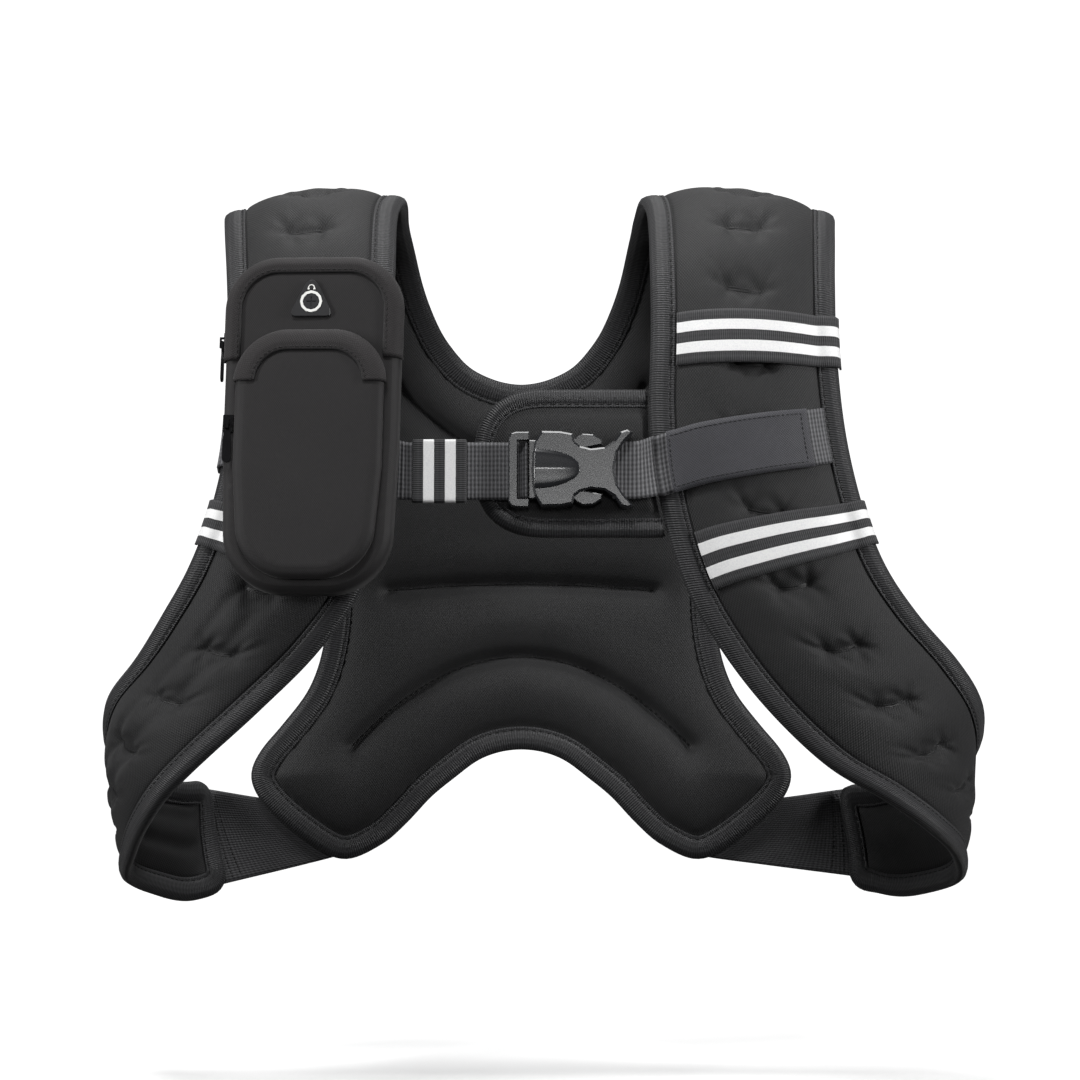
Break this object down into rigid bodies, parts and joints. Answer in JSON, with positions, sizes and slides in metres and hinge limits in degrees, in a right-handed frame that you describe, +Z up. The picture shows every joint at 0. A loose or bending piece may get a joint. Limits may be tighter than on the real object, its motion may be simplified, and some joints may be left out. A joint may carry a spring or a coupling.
{
  "type": "weighted vest",
  "caption": "Padded weighted training vest with splayed front straps that wrap to a scooped back, a fastened chest buckle and a zipped phone pouch.",
  "frame": {"origin": "midway between the shoulder straps, level with the underside of their crests, where the vest hangs on the shoulders", "axes": "+X to the viewer's right in the front view, -Y the way the chest faces, +Z up"},
  "size_m": [0.4779, 0.2517, 0.3947],
  "materials": {
    "neoprene": "matte knit face over foam",
    "edge_tape": "ribbed tape",
    "rib_elastic": "ribbed elastic",
    "webbing": "woven webbing",
    "reflective_band": "elastic with bright woven stripes",
    "patch_cloth": "brushed patch cloth",
    "buckle_plastic": "moulded, half gloss",
    "pouch_cloth": "matte stretch cloth",
    "guard_cloth": "fine knit",
    "port_rubber": "matte",
    "port_print": "printed ring",
    "zip_metal": "black, half gloss"
  },
  "bodies": {
    "vest": {"back_panel": "neoprene", "strap_right": "neoprene", "strap_left": "neoprene", "edge_binding": "edge_tape", "elastic_right": "rib_elastic", "elastic_left": "rib_elastic", "band_upper_right": "reflective_band", "band_lower_right": "reflective_band", "band_lower_left": "reflective_band", "chest_web_right": "webbing", "chest_web_left": "webbing", "web_patch": "patch_cloth", "buckle_pad": "neoprene", "pad_binding": "edge_tape", "buckle_female": "buckle_plastic", "buckle_male": "buckle_plastic", "web_sleeve": "rib_elastic", "pouch_body": "pouch_cloth", "pouch_pocket": "pouch_cloth", "pouch_guard_main": "guard_cloth", "pouch_guard_pocket": "guard_cloth", "cable_port": "port_rubber", "port_ring": "port_print", "zip_slider_lower": "zip_metal", "zip_slider_upper": "zip_metal"},
    "pull_lower": {"zip_pull_lower": "zip_metal"},
    "pull_upper": {"zip_pull_upper": "zip_metal"}
  },
  "joints": [
    {"name": "pull_lower_hinge", "type": "hinge", "parent": "vest", "child": "pull_lower", "pos_m": [-0.15017, -0.11581, -0.11274], "axis": [-0.9928, 0.1197, 0], "range_deg": [0, 150]},
    {"name": "pull_upper_hinge", "type": "hinge", "parent": "vest", "child": "pull_upper", "pos_m": [-0.15422, -0.09287, -0.07043], "axis": [0.1176, 0.9749, -0.1889], "range_deg": [0, 150]}
  ]
}
